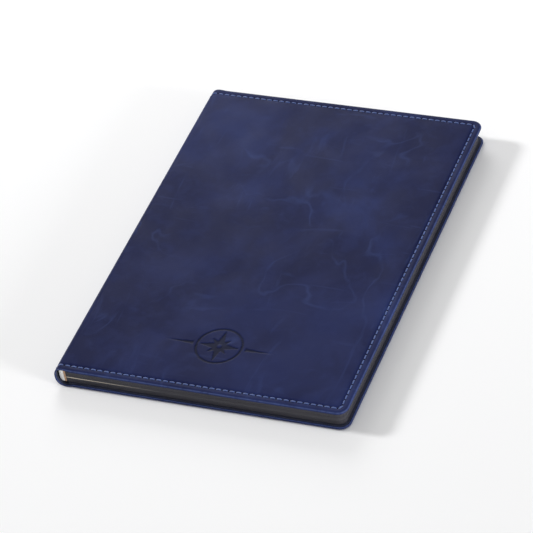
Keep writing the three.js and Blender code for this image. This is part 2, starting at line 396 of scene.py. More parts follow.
def flyleaf_paper():
    """The cream endpaper that is left free, its rim painted with the block."""
    s = Shader("flyleaf_paper")
    place = s.object_position()
    fiber = s.noise(place, 500, 5.0, 0.65)
    color = s.mix(s.spread(fiber, 0.3, 0.7), srgb(226, 220, 204), srgb(240, 236, 224))
    color = s.mix(painted_border(s, place), color, srgb(52, 51, 58))
    return s.surface(color, 0.85, s.bump(fiber, 0.02 * MM, 0.6), Specular_IOR_Level=0.25)


LEATHER = pull_up_leather()
THREAD = stitch_thread()
HOLE_SHADE = needle_hole_shade()
PAGE_EDGE = page_edge()
RULED = ruled_paper()
LINING = woven("lining_cloth", srgb(22, 26, 46), srgb(44, 50, 78), 0.5 * MM, "rest")
CAD_LINING = woven("cover_lining_cloth", srgb(22, 26, 46), srgb(44, 50, 78), 0.5 * MM)
CARD = fading_card()
ENDPAPER = plain_stock("endpaper", srgb(226, 220, 204), srgb(240, 236, 224), 500, 0.85, 0.02)
FLYLEAF = flyleaf_paper()
FOAM = plain_stock("cover_foam", srgb(92, 94, 102), srgb(128, 130, 138), 1800, 0.95, 0.08)
BOARD = plain_stock("cover_board", srgb(120, 112, 96), srgb(158, 148, 128), 700, 0.9, 0.03)
KRAFT = plain_stock("kraft_paper", srgb(164, 130, 104), srgb(198, 164, 136), 420, 0.85, 0.03)
MULL = woven("mull_gauze", srgb(176, 158, 126), srgb(226, 212, 184), 0.9 * MM)
BAND = woven("end_band", srgb(232, 231, 226), srgb(252, 252, 250), 0.35 * MM, "rest")


# ---- mesh helpers -----------------------------------------------------------------------------------
HARD_TURN = math.radians(50)


def make_piece(name, vertices, faces, materials, face_material=None, attributes=None, smooth=True,
               tolerance=1e-7):
    """A closed mesh in the book's own frame, with each point's rest position kept for its pattern."""
    mesh = bpy.data.meshes.new(name)
    mesh.from_pydata([tuple(v) for v in vertices], [], faces)
    for material in materials:
        mesh.materials.append(material)
    if face_material is not None:
        mesh.polygons.foreach_set("material_index", np.array(face_material, dtype=np.int32))
    for key, values in (attributes or {}).items():
        layer = mesh.attributes.new(key, "FLOAT", "POINT")
        layer.data.foreach_set("value", np.array(values, dtype=np.float32))
    bm = bmesh.new()
    bm.from_mesh(mesh)
    bmesh.ops.remove_doubles(bm, verts=bm.verts, dist=tolerance)
    bmesh.ops.dissolve_degenerate(bm, edges=bm.edges, dist=tolerance / 10)
    bmesh.ops.recalc_face_normals(bm, faces=bm.faces)
    for edge in bm.edges:
        if len(edge.link_faces) == 2 and edge.calc_face_angle() > HARD_TURN:
            edge.smooth = False
    bm.to_mesh(mesh)
    bm.free()
    places = np.array([v.co for v in mesh.vertices], dtype=np.float32)
    layer = mesh.attributes.new("rest_position", "FLOAT_VECTOR", "POINT")
    layer.data.foreach_set("vector", places.ravel())
    if smooth:
        mesh.polygons.foreach_set("use_smooth", [True] * len(mesh.polygons))
    mesh.update()
    piece = bpy.data.objects.new(name, mesh)
    bpy.context.collection.objects.link(piece)
    return piece


def smooth_step(value):
    value = np.clip(value, 0.0, 1.0)
    return value * value * (3 - 2 * value)


# ---- the emblem: a plain compass star with a ring and a tapered bar on each side --------------------
def emblem_depth(x, y):
    """0 outside the pressed marks and 1 inside them, softly edged. x and y are from the emblem's centre."""
    soft = 0.16 * MM
    reach = np.hypot(x, y)
    angle = np.arctan2(y, x)
    ring = smooth_step(1 - (np.abs(reach - 11.4 * MM) - 0.5 * MM) / soft)
    star = np.zeros_like(x)
    for points, tip, waist, start in ((4, 10.2 * MM, 2.4 * MM, 0.0), (4, 6.4 * MM, 2.1 * MM, math.pi / 4)):
        sector = 2 * math.pi / points
        local = np.abs((angle - start + sector / 2) % sector - sector / 2)
        along = reach * np.cos(local)
        aside = reach * np.sin(local)
        half = waist * np.clip(1 - along / tip, 0, 1)
        star = np.maximum(star, smooth_step(1 - (aside - half) / soft) * (along < tip))
    hub = smooth_step((reach - 1.0 * MM) / soft)
    start = 13.2 * MM
    length = 9.0 * MM
    left_over = np.clip((start + length - np.abs(x)) / length, 0, 1)
    half = 0.15 * MM + 0.85 * MM * left_over
    inside_x = smooth_step((np.abs(x) - start) / soft) * smooth_step((start + length - np.abs(x)) / soft)
    bars = inside_x * smooth_step(1 - (np.abs(y) - half) / soft)
    return np.maximum(np.maximum(ring, star * hub), bars)


# ---- the leather wrap ---------------------------------------------------------------------------------
# Inset from the cut edge and depth below the outer face, in mm, over the rim and the stitched groove.
OUTER_RIM = (
    (0.00, 1.10), (0.04, 0.88), (0.14, 0.66), (0.32, 0.47), (0.58, 0.34), (0.95, 0.27), (1.50, 0.25),
    (2.15, 0.28), (2.65, 0.35), (3.00, 0.43), (3.28, 0.49), (3.50, 0.51), (3.70, 0.48), (3.92, 0.38),
    (4.20, 0.25), (4.60, 0.14), (5.05, 0.085), (5.50, 0.06),
)
INNER_RIM = (
    (0.04, 1.30), (0.16, 1.47), (0.38, 1.60), (0.70, 1.65), (0.95, 1.63), (1.12, 1.565), (5.50, 1.565),
)
RIM_THICKNESS = 1.565
LINING_INSET = 1.1 * MM


def rim_highlight_at(inset, outer):
    """The weight of the painted highlight along the rounded rim, where the leather is also made less rough.
    """
    if outer:
        return 0.5 * math.exp(-((inset - 0.3) / 0.24) ** 2)
    return 0.6 * math.exp(-((inset - 0.45) / 0.25) ** 2)


def spaced(first, *legs):
    """Places from the first on, in legs of an end and about how far apart its places are."""
    stops = [first]
    for end, spacing in legs:
        start = stops[-1]
        count = max(1, round((end - start) / spacing))
        stops.extend(start + (end - start) * (i + 1) / count for i in range(count))
    return np.array(stops)


def panel_columns(left, right):
    centre = (FORE_EDGE + SPINE_FACE) / 2
    return spaced(left, (centre - EMBLEM_HALF_WIDTH, 3.2 * MM), (centre + EMBLEM_HALF_WIDTH, EMBLEM_GRID),
                  (right, 3.2 * MM))


def panel_rows(low, high):
    return spaced(low, (EMBLEM_Y - EMBLEM_HALF_HEIGHT, 2.8 * MM),
                  (EMBLEM_Y + EMBLEM_HALF_HEIGHT, EMBLEM_GRID), (high, 3.4 * MM))


def corner_arc(centre_x, centre_y, radius, start, steps):
    """The points inside a quarter turn that begins at the start angle."""
    arc = []
    for i in range(1, steps):
        angle = start + math.pi / 2 * i / steps
        arc.append((centre_x + radius * math.cos(angle), centre_y + radius * math.sin(angle)))
    return arc


def undulation(x, y, seed):
    """The slight unevenness of a soft padded cover, in metres of depth."""
    rng = random.Random(seed)
    total = np.zeros_like(x)
    for _ in range(WAVE_COUNT):
        direction = rng.uniform(0, 2 * math.pi)
        length = rng.uniform(24, 70) * MM
        phase = rng.uniform(0, 2 * math.pi)
        along = x * math.cos(direction) + y * math.sin(direction)
        total = total + np.sin(along * 2 * math.pi / length + phase)
    return (total / WAVE_COUNT) * WAVE_HEIGHT


class Wrap:
    """Gathers a cover panel and the stations that carry its edge profile round the spine."""

    def __init__(self, front, seed):
        self.front = front
        self.seed = seed
        self.vertices = []
        self.rim_highlight = []
        self.pressed = []
        self.faces = []
        self.inner_faces = []
        self.rows = panel_rows(-HALF_HEIGHT + CORNER_RADIUS, HALF_HEIGHT - CORNER_RADIUS)

    def add(self, x, y, depth, rim_highlight=0.0, pressed=0.0):
        z = BOOK_TOP - depth if self.front else depth
        self.vertices.append((x, y, z))
        self.rim_highlight.append(rim_highlight)
        self.pressed.append(pressed)
        return len(self.vertices) - 1

    def grid(self, indices, inner=False):
        count = len(indices[0])
        for first, second in zip(indices, indices[1:]):
            for i in range(count - 1):
                self.faces.append((first[i], first[i + 1], second[i + 1], second[i]))
                self.inner_faces.append(inner)

    def panel(self, left):
        """The cover from the joint to the fore-edge: a grid, and rings out over the rim and back under."""
        columns = panel_columns(left, FORE_EDGE - CORNER_RADIUS)
        rings = []
        for outer, profile in ((True, OUTER_RIM), (False, INNER_RIM)):
            side = []
            for inset_mm, depth_mm in profile:
                inset = inset_mm * MM
                depth = depth_mm * MM
                rim_highlight = rim_highlight_at(inset_mm, outer)
                reach = CORNER_RADIUS - inset
                centre_x = FORE_EDGE - CORNER_RADIUS
                ring = [(x, -HALF_HEIGHT + inset) for x in columns]
                ring += corner_arc(centre_x, -HALF_HEIGHT + CORNER_RADIUS, reach, -math.pi / 2,
                                   COVER_CORNER_STEPS)
                ring += [(FORE_EDGE - inset, y) for y in self.rows]
                ring += corner_arc(centre_x, HALF_HEIGHT - CORNER_RADIUS, reach, 0.0, COVER_CORNER_STEPS)
                ring += [(x, HALF_HEIGHT - inset) for x in columns[::-1]]
                side.append([self.add(x, y, self.surface_depth(x, y, depth, outer), rim_highlight) for x, y in ring])
            rings.append(side)
        outer_side, inner_side = rings
        self.grid(outer_side)
        self.grid([outer_side[0]] + inner_side)
        for outer in (True, False):
            depth = 0.0 if outer else RIM_THICKNESS * MM
            lines = []
            for y in self.rows:
                line = []
                for x in columns:
                    pressed = self.emblem(x, y) if outer else 0.0
                    extra = pressed * EMBLEM_DEPTH + (self.panel_depth(x, y) if outer else 0.0)
                    line.append(self.add(x, y, self.surface_depth(x, y, depth, outer) + extra, 0.0, pressed))
                lines.append(line)
            self.grid(lines)

    def emblem(self, x, y):
        if not self.front:
            return 0.0
        centre = (FORE_EDGE + SPINE_FACE) / 2
        if abs(x - centre) > EMBLEM_HALF_WIDTH or abs(y - EMBLEM_Y) > EMBLEM_HALF_HEIGHT:
            return 0.0
        return float(emblem_depth(np.array(x - centre), np.array(y - EMBLEM_Y)))

    def panel_depth(self, x, y):
        """The last of the rim's slope, from the stitching up to the flat of the panel."""
        inset = min(HALF_HEIGHT - abs(y), FORE_EDGE - x)
        reach = float(smooth_step((inset - CORNER_RADIUS) / (5 * MM)))
        return OUTER_RIM[-1][1] * MM * (1 - reach)

    def surface_depth(self, x, y, depth, outer):
        """Adds the panel's soft unevenness to the outer face, fading out at the rim and at the joint."""
        if not outer:
            return depth
        inset = min(HALF_HEIGHT - abs(y), FORE_EDGE - x)
        fade = float(smooth_step((inset - 5 * MM) / (16 * MM)) * smooth_step((x - PANEL_LEFT) / (20 * MM)))
        wave = float(undulation(np.array(x), np.array(y), self.seed)) + WAVE_HEIGHT
        return depth + fade * wave

    def edge_loop(self):
        """One closed section, tail to head outside and back inside, as y, depth, rim highlight weight and
        inner.
        """
        loop = []
        for inset, depth in OUTER_RIM:
            loop.append((-HALF_HEIGHT + inset * MM, depth, rim_highlight_at(inset, True), False))
        loop.extend((y, self.panel_depth(0.0, y) / MM, 0.0, False) for y in self.rows[1:-1])
        for inset, depth in OUTER_RIM[::-1]:
            loop.append((HALF_HEIGHT - inset * MM, depth, rim_highlight_at(inset, True), False))
        for inset, depth in INNER_RIM:
            loop.append((HALF_HEIGHT - inset * MM, depth, rim_highlight_at(inset, False), True))
        loop.extend((y, RIM_THICKNESS, 0.0, True) for y in self.rows[1:-1][::-1])
        for inset, depth in INNER_RIM[::-1]:
            loop.append((-HALF_HEIGHT + inset * MM, depth, rim_highlight_at(inset, False), True))
        return loop

    def stations(self, path, cap_first, cap_last):
        """Carries the section along a path of outer points, outward normals and thicknesses."""
        loop = self.edge_loop()
        rings = []
        for (x, z), (nx, nz), thickness in path:
            scale = thickness / RIM_THICKNESS
            ring = []
            for y, depth, rim_highlight, inner in loop:
                sunk = depth * scale
                self.vertices.append((x - nx * sunk, y, z - nz * sunk))
                self.rim_highlight.append(rim_highlight)
                self.pressed.append(0.0)
                ring.append(len(self.vertices) - 1)
            rings.append(ring + [ring[0]])
        for first, second in zip(rings, rings[1:]):
            for i in range(len(loop)):
                y, following = loop[i][0], loop[(i + 1) % len(loop)]
                inner = loop[i][3] and following[3] and abs(y) < HALF_HEIGHT - LINING_INSET
                self.faces.append((first[i], first[i + 1], second[i + 1], second[i]))
                self.inner_faces.append(inner)
        for wanted, ring in ((cap_first, rings[0]), (cap_last, rings[-1])):
            if wanted:
                self.cap(ring[:-1])

    def cap(self, ring):
        """Closes a cut end with a strip between the outer and the inner line."""
        outer_count = 2 * len(OUTER_RIM) + len(self.rows) - 2
        outer = ring[:outer_count]
        inner = ring[outer_count:][::-1]
        rim = len(OUTER_RIM)
        rows = len(self.rows) - 2
        inner_rim = len(INNER_RIM)
        tail_outer = outer[:rim]
        tail_inner = inner[:inner_rim]
        head_outer = outer[rim + rows:][::-1]
        head_inner = inner[inner_rim + rows:][::-1]
        for out_line, in_line in ((tail_outer, tail_inner), (head_outer, head_inner)):
            self.faces.append(tuple(out_line) + tuple(in_line[::-1]))
            self.inner_faces.append(False)
        middle_outer = [tail_outer[-1]] + outer[rim:rim + rows] + [head_outer[-1]]
        middle_inner = [tail_inner[-1]] + inner[inner_rim:inner_rim + rows] + [head_inner[-1]]
        for i in range(len(middle_outer) - 1):
            self.faces.append((middle_outer[i], middle_outer[i + 1], middle_inner[i + 1], middle_inner[i]))
            self.inner_faces.append(False)

    def piece(self, name):
        return make_piece(
            name, self.vertices, self.faces, [LEATHER, LINING],
            [1 if inner else 0 for inner in self.inner_faces],
            {"rim_highlight": self.rim_highlight, "pressed": self.pressed})


PANEL_LEFT = COVER_JOINT + 3 * MM
ARCH_EDGE = SPINE_FACE + SPINE_REACH
ARCH_HALF = BOOK_TOP / 2


def arch_point(turn):
    """The spine's outer face at a turn from 0, flat on the back cover, through 90 at mid-spine, to 180."""
    across = abs(math.sin(turn)) ** (2 / ARCH_SQUARENESS)
    up = abs(math.cos(turn)) ** (2 / ARCH_SQUARENESS)
    side = -1 if turn < math.pi / 2 else 1
    nx = -across ** (ARCH_SQUARENESS - 1) / SPINE_REACH
    nz = side * up ** (ARCH_SQUARENESS - 1) / ARCH_HALF
    length = math.hypot(nx, nz)
    return (ARCH_EDGE - SPINE_REACH * across, ARCH_HALF + side * ARCH_HALF * up), (nx / length, nz / length)


def leather_thickness_at(x):
    """Full cover thickness past the joint, single leather over the spine. In mm."""
    blend = float(smooth_step((x - (COVER_JOINT - 0.4 * MM)) / (3.0 * MM)))
    return SPINE_LEATHER / MM + (RIM_THICKNESS - SPINE_LEATHER / MM) * blend


def flat_path(front, from_x, to_x, count):
    z = BOOK_TOP if front else 0.0
    normal = (0.0, 1.0) if front else (0.0, -1.0)
    path = []
    for i in range(count + 1):
        x = from_x + (to_x - from_x) * i / count
        path.append(((x, z), normal, leather_thickness_at(x) * MM))
    return path


def arch_path(start, end, count):
    path = []
    for i in range(count + 1):
        eased = 0.5 - 0.5 * math.cos(math.pi * i / count)
        point, normal = arch_point(start + (end - start) * eased)
        path.append((point, normal, SPINE_LEATHER))
    return path


def back_wrap():
    wrap = Wrap(False, 3)
    wrap.panel(PANEL_LEFT)
    path = flat_path(False, PANEL_LEFT, ARCH_EDGE, 12)
    path += arch_path(0.0, math.pi / 2, 24)[1:]
    wrap.stations(path, False, True)
    piece = wrap.piece("back_cover_wrap")
    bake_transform(piece)
    return piece


def spine_wrap():
    wrap = Wrap(True, 5)
    path = arch_path(math.pi / 2, math.pi, 24)
    wrap.stations(path, True, True)
    piece = wrap.piece("spine_wrap")
    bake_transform(piece)
    return piece


def front_wrap():
    wrap = Wrap(True, 8)
    wrap.panel(PANEL_LEFT)
    wrap.stations(flat_path(True, PANEL_LEFT, ARCH_EDGE, 12), False, True)
    piece = wrap.piece("front_cover_wrap")
    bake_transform(piece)
    return piece


# ---- stitching --------------------------------------------------------------------------------------
def border_route(front):
    """Points of the stitched line round a cover, with the outward direction at each."""
    z = BOOK_TOP - STITCH_SINK if front else STITCH_SINK
    out = (0, 0, 1) if front else (0, 0, -1)
    edge_y = HALF_HEIGHT - STITCH_INSET
    edge_x = FORE_EDGE - STITCH_INSET
    radius = CORNER_RADIUS - STITCH_INSET
    corner_steps = 8
    line = [(ARCH_EDGE, -edge_y)]
    for centre_y, start in ((-edge_y + radius, -math.pi / 2), (edge_y - radius, 0.0)):
        for i in range(corner_steps + 1):
            angle = start + math.pi / 2 * i / corner_steps
            line.append((edge_x - radius + radius * math.cos(angle), centre_y + radius * math.sin(angle)))
    line.append((ARCH_EDGE, edge_y))
    return [((x, y, z), out) for x, y in line]


def spine_route(start, end, side):
    """The stitched line over part of the rounded spine, at the head (side 1) or the tail (side -1)."""
    sink = STITCH_SINK * SPINE_LEATHER / (RIM_THICKNESS * MM)
    route = []
    for i in range(17):
        (x, z), (nx, nz) = arch_point(start + (end - start) * i / 16)
        route.append(((x - nx * sink, side * (HALF_HEIGHT - STITCH_INSET), z - nz * sink), (nx, 0, nz)))
    return route


def route_object(name, routes):
    """The stitched lines as edges, each point carrying its outward direction."""
    vertices = []
    edges = []
    outs = []
    for route in routes:
        first = len(vertices)
        for place, out in route:
            vertices.append(place)
            outs.append(out)
        edges.extend((first + i, first + i + 1) for i in range(len(route) - 1))
    mesh = bpy.data.meshes.new(name)
    mesh.from_pydata(vertices, edges, [])
    layer = mesh.attributes.new("outward", "FLOAT_VECTOR", "POINT")
    layer.data.foreach_set("vector", np.array(outs, dtype=np.float32).ravel())
    holder = bpy.data.objects.new(name, mesh)
    bpy.context.collection.objects.link(holder)
    return holder


def stitch_shape(s, given):
    """One raised thread whose two ends dip into the leather."""
    half = s.math("DIVIDE", given["Stitch length"], 2.0)
    sides = (s.math("MULTIPLY", half, -1.0), half)
    dip = s.math("MULTIPLY", given["Dip"], -1.0)
    ends = [s.node("ShaderNodeCombineXYZ", {0: side, 2: dip}).outputs[0] for side in sides]
    handles = []
    for side in sides:
        nearer = s.math("MULTIPLY", side, 0.85)
        handles.append(s.node("ShaderNodeCombineXYZ", {0: nearer, 2: given["Rise"]}).outputs[0])
    bend = s.node("GeometryNodeCurvePrimitiveBezierSegment", {
        "Resolution": 8, "Start": ends[0], "Start Handle": handles[0],
        "End Handle": handles[1], "End": ends[1]}, mode="POSITION")
    circle = s.node("GeometryNodeCurvePrimitiveCircle", {"Resolution": 8, "Radius": given["Thread radius"]})
    return s.node("GeometryNodeCurveToMesh", {
        "Fill Caps": True, "Curve": bend.outputs["Curve"],
        "Profile Curve": circle.outputs["Curve"]}).outputs["Mesh"]


def hole_shape(s, given):
    """One needle hole, as a flattened ball sunk in the leather that carries the painted shade of the hole."""
    ball = s.node("GeometryNodeMeshUVSphere", {"Segments": 10, "Rings": 5, "Radius": given["Hole radius"]})
    return s.node("GeometryNodeTransform", {
        "Scale": (1.0, 1.0, 0.35), "Geometry": ball.outputs["Mesh"]}).outputs["Geometry"]


def sewing_tree(name, kind):
    """Repeats one stitch, or one needle hole between two stitches, along the edges of a route."""
    tree = bpy.data.node_groups.new(name, "GeometryNodeTree")
    s = Nodes(tree)
    sockets = {}
    tree.interface.new_socket("Geometry", in_out="INPUT", socket_type="NodeSocketGeometry")
    for label, value in (
            ("Stitch length", STITCH_LENGTH), ("Thread radius", STITCH_RADIUS),
            ("Rise", STITCH_RISE), ("Dip", STITCH_DIP), ("Hole radius", HOLE_RADIUS)):
        socket = tree.interface.new_socket(label, in_out="INPUT", socket_type="NodeSocketFloat")
        socket.default_value = value
    for label, kind_of_socket in (("Stitches", "NodeSocketInt"), ("Finish", "NodeSocketMaterial")):
        socket = tree.interface.new_socket(label, in_out="INPUT", socket_type=kind_of_socket)
        sockets[label] = socket.identifier
    tree.interface.new_socket("Geometry", in_out="OUTPUT", socket_type="NodeSocketGeometry")
    given = s.node("NodeGroupInput").outputs

    def keep(geometry, label, kind_of_value, value):
        inputs = {"Geometry": geometry, "Name": label, "Value": value}
        store = s.node("GeometryNodeStoreNamedAttribute", inputs, data_type=kind_of_value)
        return store.outputs["Geometry"]

    def kept(label, kind_of_value):
        read = s.node("GeometryNodeInputNamedAttribute", {"Name": label}, data_type=kind_of_value)
        return read.outputs["Attribute"]

    curve = s.node("GeometryNodeMeshToCurve", {"Mesh": given["Geometry"]}).outputs["Curve"]
    count = s.math("MULTIPLY_ADD", given["Stitches"], 2.0, 1.0)
    evened = s.node("GeometryNodeResampleCurve", {"Curve": curve, "Count": count}, mode="COUNT")
    curve = evened.outputs["Curve"]
    curve = keep(curve, "along", "FLOAT_VECTOR", s.node("GeometryNodeInputTangent").outputs["Tangent"])
    curve = keep(curve, "step", "INT", s.node("GeometryNodeSplineParameter").outputs["Index"])
    points = s.node("GeometryNodeCurveToPoints", {"Curve": curve}, mode="EVALUATED").outputs["Points"]

    parity = s.math("MODULO", kept("step", "INT"), 2.0)
    chosen = s.node("FunctionNodeCompare", {0: parity, 1: 0.5}, data_type="FLOAT",
                    operation="GREATER_THAN" if kind == "stitch" else "LESS_THAN").outputs[0]
    face_along = s.node("FunctionNodeAlignRotationToVector", {"Vector": kept("along", "FLOAT_VECTOR")},
                        axis="X").outputs["Rotation"]
    face_out = s.node("FunctionNodeAlignRotationToVector",
                      {"Rotation": face_along, "Vector": kept("outward", "FLOAT_VECTOR")},
                      axis="Z", pivot_axis="X").outputs["Rotation"]
    shape = stitch_shape(s, given) if kind == "stitch" else hole_shape(s, given)
    placed = s.node("GeometryNodeInstanceOnPoints", {
        "Points": points, "Selection": chosen, "Instance": shape, "Rotation": face_out})
    real = s.node("GeometryNodeRealizeInstances", {"Geometry": placed.outputs["Instances"]})
    painted = s.node("GeometryNodeSetMaterial", {
        "Geometry": real.outputs["Geometry"], "Material": given["Finish"]})
    s.node("NodeGroupOutput", {"Geometry": painted.outputs["Geometry"]})
    return tree, sockets


STITCH_TREE = sewing_tree("stitches_along", "stitch")
HOLE_TREE = sewing_tree("holes_along", "hole")


def route_length(route):
    places = [Vector(place) for place, _ in route]
    return sum((second - first).length for first, second in zip(places, places[1:]))


def sew(name, routes, kind):
    """Runs a sewing tree over routes of one length and keeps the result as a plain mesh."""
    tree, sockets = STITCH_TREE if kind == "stitch" else HOLE_TREE
    holder = route_object(name + "_route", routes)
    modifier = holder.modifiers.new("sewing", "NODES")
    modifier.node_group = tree
    modifier[sockets["Stitches"]] = round(route_length(routes[0]) / STITCH_PITCH)
    modifier[sockets["Finish"]] = THREAD if kind == "stitch" else HOLE_SHADE
    bpy.context.view_layer.update()
    evaluated = holder.evaluated_get(bpy.context.evaluated_depsgraph_get())
    mesh = bpy.data.meshes.new_from_object(evaluated)
    mesh.name = name
    bpy.data.objects.remove(holder)
    for attribute in ("along", "outward", "step"):
        if attribute in mesh.attributes:
            mesh.attributes.remove(mesh.attributes[attribute])
    mesh.polygons.foreach_set("use_smooth", [True] * len(mesh.polygons))
    piece = bpy.data.objects.new(name, mesh)
    bpy.context.collection.objects.link(piece)
    return piece


def sew_cover():
    """Stitches, and dark balls of painted shade at the needle holes, round the covers and over both ends of
    the spine.
    """
    back_arches = [spine_route(0, math.pi / 2, side) for side in (-1, 1)]
    front_arches = [spine_route(math.pi / 2, math.pi, side) for side in (-1, 1)]
    for kind, ending in (("stitch", "stitches"), ("hole", "shaded_needle_holes")):
        back = sew("back_cover_" + ending, [border_route(False)], kind)
        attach(back, "root")
        front = sew("front_cover_" + ending, [border_route(True)], kind)
        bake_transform(front)
        if kind == "stitch":
            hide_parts("back_stitching")
            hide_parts("front_stitching")
        low = sew("back_spine_" + ending, back_arches, kind)
        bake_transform(low)
        high = sew("front_spine_" + ending, front_arches, kind)
        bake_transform(high)


# ---- the leaves -------------------------------------------------------------------------------------
def leaf_ring(left, right, half_height, corner, steps=8):
    centre_x = right - corner
    ring = [(left, -half_height), (centre_x, -half_height)]
    ring += corner_arc(centre_x, -half_height + corner, corner, -math.pi / 2, steps)
    ring += [(right, -half_height + corner), (right, half_height - corner)]
    ring += corner_arc(centre_x, half_height - corner, corner, 0.0, steps)
    ring += [(centre_x, half_height), (left, half_height)]
    return ring


def stack_of_leaves(name, low, high, count, body, node, seed):
    """Separate leaves that fill one section, each trimmed a hair differently."""
    rng = random.Random(seed)
    pitch = (high.z - low.z + LEAF_GAP) / count
    vertices = []
    faces = []
    face_material = []
    tints = []
    for leaf in range(count):
        trim = rng.uniform(0, 0.06) * MM
        tint = rng.random()
        ring = leaf_ring(low.x, high.x - trim, high.y - rng.uniform(0, 0.05) * MM, PAGE_CORNER)
        bottom = low.z + leaf * pitch
        top = bottom + pitch - LEAF_GAP
        size = len(ring)
        base = len(vertices)
        vertices.extend((x, y, bottom) for x, y in ring)
        vertices.extend((x, y, top) for x, y in ring)
        tints.extend([tint] * (2 * size))
        faces.append(tuple(base + i for i in range(size))[::-1])
        faces.append(tuple(base + size + i for i in range(size)))
        face_material.extend((0, 0))
        for i in range(size):
            j = (i + 1) % size
            faces.append((base + i, base + j, base + size + j, base + size + i))
            face_material.append(1)
    piece = make_piece(name, vertices, faces, [RULED, PAGE_EDGE], face_material, {"leaf_tint": tints},
                       smooth=False)
    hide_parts(node)
    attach(piece, body)


def centre_sheet():
    """The sheet at the middle fold: it passes through the fold, so the open spread is one surface."""
    fold_x = LEAF_AXIS + 0.25 * MM
    right = middle_back_high.x - 0.03 * MM
    inner = (middle_front_low.z - middle_back_high.z) / 2
    outer = inner + CENTRE_LEAF
    ring = leaf_ring(middle_back_low.x, right, middle_back_high.y - 0.03 * MM, PAGE_CORNER)
    vertices = []
    faces = []
    face_material = []

    def flat(z, turned):
        base = len(vertices)
        vertices.extend((x, y, z) for x, y in ring)
        face = tuple(base + i for i in range(len(ring)))
        faces.append(face[::-1] if turned else face)
        face_material.append(0)
        return [base + i for i in range(len(ring))]

    back_out = flat(FOLD_LEVEL - outer, True)
    back_in = flat(FOLD_LEVEL - inner, False)
    front_in = flat(FOLD_LEVEL + inner, True)
    front_out = flat(FOLD_LEVEL + outer, False)
    for low_ring, high_ring in ((back_out, back_in), (front_in, front_out)):
        for i in range(len(ring) - 1):
            faces.append((low_ring[i], low_ring[i + 1], high_ring[i + 1], high_ring[i]))
            face_material.append(1)
    half_height = middle_back_high.y - 1.5 * MM
    lines = []
    steps = 8
    path = [(middle_back_low.x, -1.0)]
    path += [(fold_x - inner * math.sin(math.pi * i / steps), -math.cos(math.pi * i / steps))
             for i in range(steps + 1)]
    path.append((middle_back_low.x, 1.0))
    for position, (x, level) in enumerate(path):
        ends = []
        for y in (-half_height, half_height):
            pair = []
            for offset in (inner, outer):
                reach = offset / inner
                deeper = fold_x - (fold_x - x) * reach if 0 < position < len(path) - 1 else x
                vertices.append((deeper, y, FOLD_LEVEL + level * offset))
                pair.append(len(vertices) - 1)
            ends.append(pair)
        lines.append(ends)
    for first, second in zip(lines, lines[1:]):
        (a_tail_in, a_tail_out), (a_head_in, a_head_out) = first
        (b_tail_in, b_tail_out), (b_head_in, b_head_out) = second
        faces.append((a_tail_in, b_tail_in, b_head_in, a_head_in))
        faces.append((a_tail_out, a_head_out, b_head_out, b_tail_out))
        faces.append((a_tail_in, a_tail_out, b_tail_out, b_tail_in))
        faces.append((a_head_in, b_head_in, b_head_out, a_head_out))
        face_material.extend((0, 0, 1, 1))
    piece = make_piece("centre_sheet", vertices, faces, [RULED, PAGE_EDGE], face_material,
                       {"leaf_tint": [0.5] * len(vertices)}, smooth=False, tolerance=1e-8)
    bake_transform(piece)


def make_leaves():
    front = ["section_%02d" % number for number in range(1, 6)]
    back = ["section_%02d" % number for number in range(7, 12)]
    for seed, node in enumerate(front + back):
        low, high = corners(node)
        body = "front_leaves" if node in front else "root"
        stack_of_leaves(node + "_stack", low, high, LEAVES_IN_SECTION, body, node, 40 + seed)
    low, high = middle_back_low.copy(), middle_back_high.copy()
    high.z -= CENTRE_LEAF + LEAF_GAP
    stack_of_leaves("section_06_back_stack", low, high, 3, "root", "section_06_back_leaves", 61)
    low, high = middle_front_low.copy(), middle_front_high.copy()
    low.z += CENTRE_LEAF + LEAF_GAP
    stack_of_leaves("section_06_front_stack", low, high, 3, "front_leaves", "section_06_front_leaves", 62)
    centre_sheet()


def make_divider():
    low, high = corners("divider_leaf")
    ring = leaf_ring(low.x, high.x, high.y, PAGE_CORNER)
    size = len(ring)
    vertices = []
    edge = []
    ease = 0.04 * MM
    step = 0.05 * MM
    for z, inset in ((low.z, ease), (low.z + step, 0.0), (high.z - step, 0.0), (high.z, ease)):
        vertices.extend((x - inset if x > 0 else x, y - math.copysign(inset, y), z) for x, y in ring)
        edge.extend([1.0] * size)
    faces = [tuple(range(size))[::-1], tuple(3 * size + i for i in range(size))]
    for level in range(3):
        for i in range(size):
            j = (i + 1) % size
            faces.append((level * size + i, level * size + j, (level + 1) * size + j, (level + 1) * size + i))
    piece = make_piece("divider_card", vertices, faces, [CARD], None, {"cut_edge": edge}, smooth=False)
    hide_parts("divider_leaf")
    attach(piece, "root")


